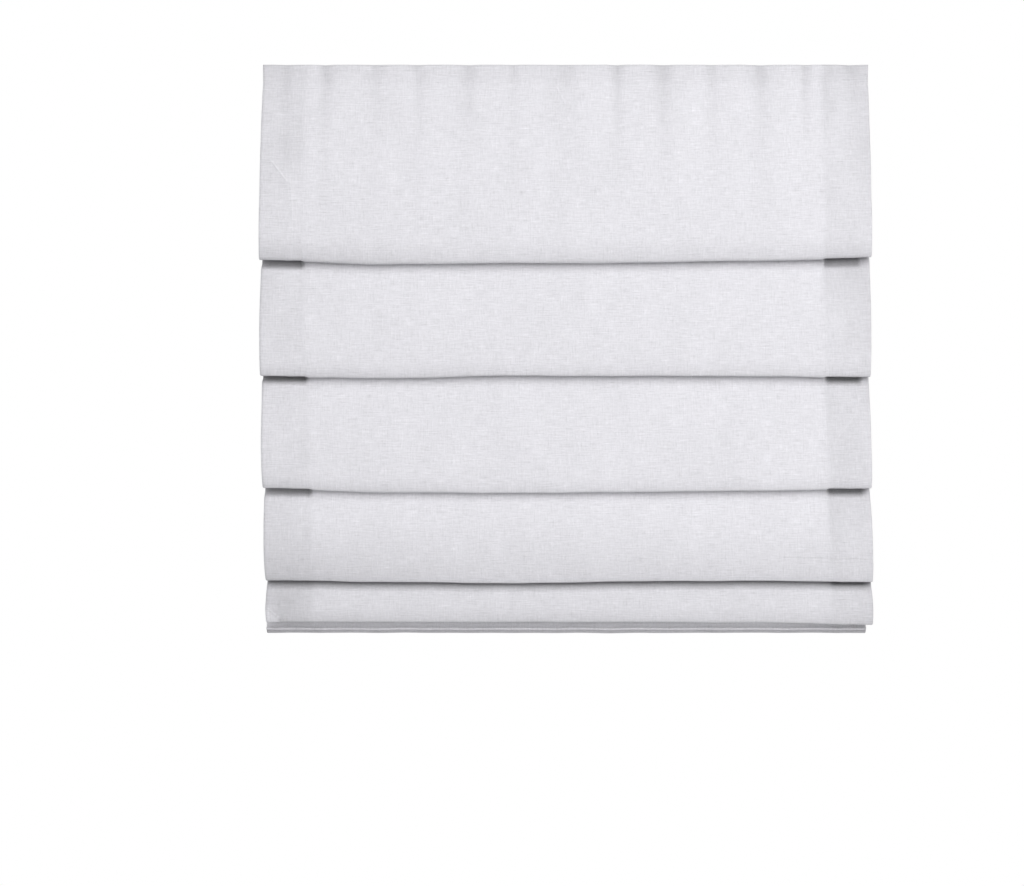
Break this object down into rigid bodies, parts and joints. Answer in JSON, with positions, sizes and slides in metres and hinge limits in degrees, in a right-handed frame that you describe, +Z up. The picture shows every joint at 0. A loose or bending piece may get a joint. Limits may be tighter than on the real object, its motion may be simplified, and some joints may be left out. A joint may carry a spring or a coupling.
{
  "type": "roman blind",
  "caption": "Cordless roman blind: plain linen cloth in soft horizontal folds, hung by touch tape from a sprung headrail, with rods and a bottom bar on hidden lift cords.",
  "frame": {"origin": "centre of the bracket screws on the wall plane", "axes": "X along the blind's width, -Y into the room, Z up"},
  "size_m": [1.219, 0.1041, 1.1505],
  "materials": {
    "linen": "slubby plain weave, matt",
    "white_rail": "satin white powder coat on aluminium",
    "steel": "bright zinc plate",
    "tape": "matt pile",
    "white_plastic": "moulded, matt",
    "clear_plastic": "moulded, glossy",
    "spring_steel": "bright rolled strip",
    "cord": "braided",
    "fibreglass": "drawn rod, satin",
    "aluminium": "mill finish"
  },
  "bodies": {
    "headrail": {"headrail": "white_rail", "end_cap_left": "white_plastic", "end_cap_right": "white_plastic", "bracket_left": "steel", "bracket_right": "steel", "hook_tape": "tape", "loop_tape": "tape", "shade_panel": "linen", "cassette_left": "white_plastic", "cassette_centre": "white_plastic", "cassette_right": "white_plastic", "motor_case": "white_plastic", "motor_cover": "white_plastic", "power_spring": "spring_steel", "lift_cord_left": "cord", "lift_cord_centre": "cord", "lift_cord_right": "cord"},
    "lift_shaft": {"lift_shaft": "steel", "spool_left": "white_plastic", "spool_centre": "white_plastic", "spool_right": "white_plastic", "output_drum": "white_plastic"},
    "storage_drum": {"storage_drum": "white_plastic"},
    "rod_1": {"rod_1": "fibreglass", "rod_pocket_1": "linen", "rod_tips_1": "white_plastic", "lift_rings_1": "clear_plastic"},
    "rod_2": {"rod_2": "fibreglass", "rod_pocket_2": "linen", "rod_tips_2": "white_plastic", "lift_rings_2": "clear_plastic"},
    "rod_3": {"rod_3": "fibreglass", "rod_pocket_3": "linen", "rod_tips_3": "white_plastic", "lift_rings_3": "clear_plastic"},
    "rod_4": {"rod_4": "fibreglass", "rod_pocket_4": "linen", "rod_tips_4": "white_plastic", "lift_rings_4": "clear_plastic"},
    "bottom_bar": {"bottom_bar": "aluminium", "bar_cap_left": "white_plastic", "bar_cap_right": "white_plastic", "cord_anchors": "clear_plastic"}
  },
  "joints": [
    {"name": "lift", "type": "slide", "parent": "headrail", "child": "bottom_bar", "axis": [0, 0, 1], "range_m": [-0.381, 0.876], "deforming": ["shade_panel", "lift_cord_left", "lift_cord_centre", "lift_cord_right", "power_spring"]},
    {"name": "rod_1_lift", "type": "slide", "parent": "headrail", "child": "rod_1", "axis": [0, 0, 1], "range_m": [-0.0987, 0.2263]},
    {"name": "rod_2_lift", "type": "slide", "parent": "headrail", "child": "rod_2", "axis": [0, 0, 1], "range_m": [-0.189, 0.434]},
    {"name": "rod_3_lift", "type": "slide", "parent": "headrail", "child": "rod_3", "axis": [0, 0, 1], "range_m": [-0.2769, 0.6361]},
    {"name": "rod_4_lift", "type": "slide", "parent": "headrail", "child": "rod_4", "axis": [0, 0, 1], "range_m": [-0.3488, 0.8012]},
    {"name": "shaft_turn", "type": "hinge", "parent": "headrail", "child": "lift_shaft", "pos_m": [0, -0.037, -0.0035], "axis": [1, 0, 0], "range_deg": [-5127, 2233]},
    {"name": "storage_turn", "type": "hinge", "parent": "headrail", "child": "storage_drum", "pos_m": [0.15, -0.019, -0.0035], "axis": [1, 0, 0], "range_deg": [-2233, 5127]}
  ],
  "couplings": [
    {"joint": "rod_1_lift", "follows": "lift", "ratio": 0.25776},
    {"joint": "rod_2_lift", "follows": "lift", "ratio": 0.49483},
    {"joint": "rod_3_lift", "follows": "lift", "ratio": 0.72554},
    {"joint": "rod_4_lift", "follows": "lift", "ratio": 0.91408},
    {"joint": "shaft_turn", "follows": "lift", "rad_per_m": -102.04},
    {"joint": "storage_turn", "follows": "lift", "rad_per_m": 102.04}
  ]
}
